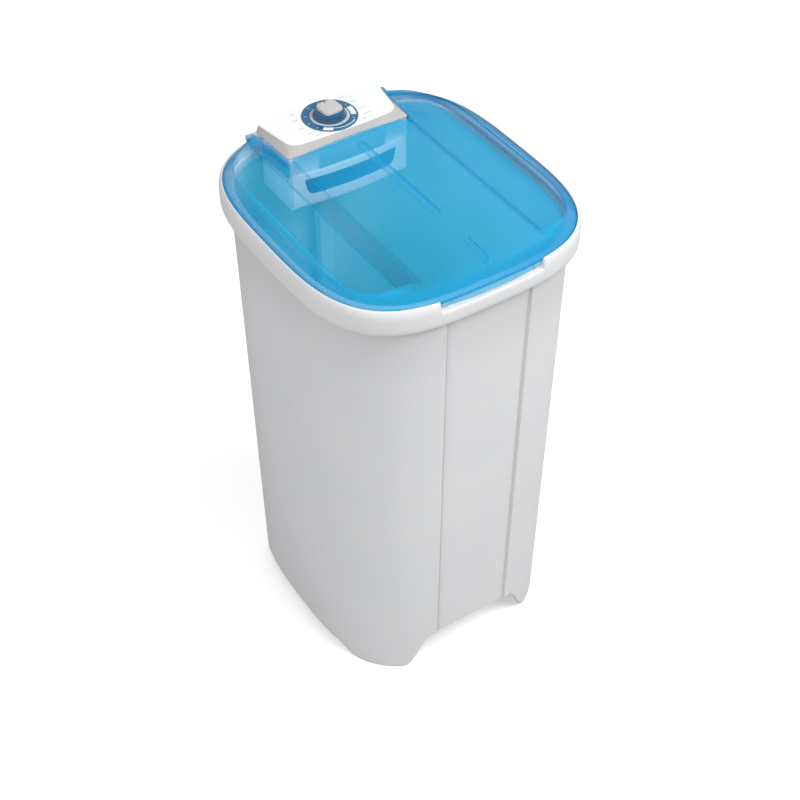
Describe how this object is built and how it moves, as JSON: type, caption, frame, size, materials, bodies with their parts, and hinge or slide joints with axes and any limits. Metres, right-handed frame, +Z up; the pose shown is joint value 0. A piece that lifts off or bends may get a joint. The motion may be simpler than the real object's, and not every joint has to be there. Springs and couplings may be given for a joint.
{
  "type": "semi-automatic washing machine",
  "caption": "Single-tub top-loading washing machine with a rounded tapered cabinet, translucent hinged lid, small rear console with timer knob and drawer, and belt-driven washing disc.",
  "frame": {"origin": "on the floor, under the middle of the rim", "axes": "+Z up, -Y towards the front, +X towards the right side as seen from the front"},
  "size_m": [0.4738, 0.5198, 0.9123],
  "materials": {
    "body_white": "satin moulded polypropylene",
    "rim_white": "glossy white moulding",
    "lid_blue": "clear blue polystyrene sheet",
    "housing_tint": "glossy pale blue white moulding",
    "panel_white": "glossy white with a grey edge",
    "dial_blue": "printed dark blue ring",
    "grip_grey": "satin grey",
    "knob_blue": "glossy dark blue",
    "drawer_white": "glossy pale blue white",
    "insert_blue": "glossy deep blue",
    "disc_white": "satin white",
    "steel": "plain zinc-plated steel",
    "cast_alloy": "die-cast",
    "bronze": "sintered bronze",
    "rubber_black": "moulded rubber",
    "dark_plastic": "satin black",
    "motor_paint": "grey enamel",
    "winding": "varnished laminations"
  },
  "bodies": {
    "base": {"cabinet": "body_white", "tub_floor": "body_white", "top_rim": "rim_white", "rim_screws": "steel", "console_housing": "housing_tint", "control_panel": "panel_white", "panel_screws": "steel", "housing_screws": "steel", "dial_ring": "dial_blue", "dial_inlay": "grip_grey", "timer_body": "dark_plastic", "timer_nut": "steel", "drawer_runner_left": "housing_tint", "drawer_runner_right": "housing_tint", "lid_hinge_pin_left": "steel", "lid_hinge_pin_right": "steel", "drain_strainer": "disc_white", "drain_elbow": "rubber_black", "drain_outlet": "disc_white", "drain_clamp": "steel", "bearing_housing": "cast_alloy", "upper_bush": "bronze", "lower_bush": "bronze", "shaft_seal": "rubber_black", "bearing_bolts": "steel", "motor_body": "motor_paint", "motor_bracket": "steel", "motor_bolts": "steel", "motor_mounts": "rubber_black", "capacitor": "dark_plastic", "capacitor_clip": "steel", "wiring_harness": "dark_plastic", "cable_duct": "disc_white", "cord_gland": "rubber_black", "bottom_guard": "disc_white", "guard_screws": "steel", "drive_belt": "rubber_black"},
    "lid_body": {"lid": "lid_blue"},
    "timer_knob": {"knob_base": "knob_blue", "knob_grip": "grip_grey", "timer_shaft": "steel"},
    "drawer": {"drawer_body": "drawer_white", "drawer_insert": "insert_blue"},
    "washing_disc": {"agitator": "disc_white", "agitator_cap": "knob_blue", "agitator_screw": "steel", "drive_shaft": "steel", "driven_pulley": "cast_alloy", "pulley_nut": "steel", "shaft_washer": "steel"},
    "motor_spindle": {"motor_rotor": "winding", "motor_shaft": "steel", "motor_pulley": "cast_alloy", "pulley_set_screw": "steel"}
  },
  "joints": [
    {"name": "lid_hinge", "type": "hinge", "parent": "base", "child": "lid_body", "pos_m": [0, 0.238, 0.8685], "axis": [-1, 0, 0], "range_deg": [0, 100]},
    {"name": "timer_turn", "type": "hinge", "parent": "base", "child": "timer_knob", "pos_m": [-0.003, 0.192, 0.897], "axis": [0, 0, -1], "range_deg": [0, 330]},
    {"name": "drawer_slide", "type": "slide", "parent": "base", "child": "drawer", "axis": [0, -1, 0], "range_m": [0, 0.055]},
    {"name": "disc_spin", "type": "hinge", "parent": "base", "child": "washing_disc", "pos_m": [0, 0, 0.15], "axis": [0, 0, 1], "continuous": true},
    {"name": "motor_spin", "type": "hinge", "parent": "base", "child": "motor_spindle", "pos_m": [0, -0.13, 0.15], "axis": [0, 0, 1], "continuous": true}
  ],
  "couplings": [
    {"joint": "motor_spin", "follows": "disc_spin", "ratio": 3.9907}
  ]
}
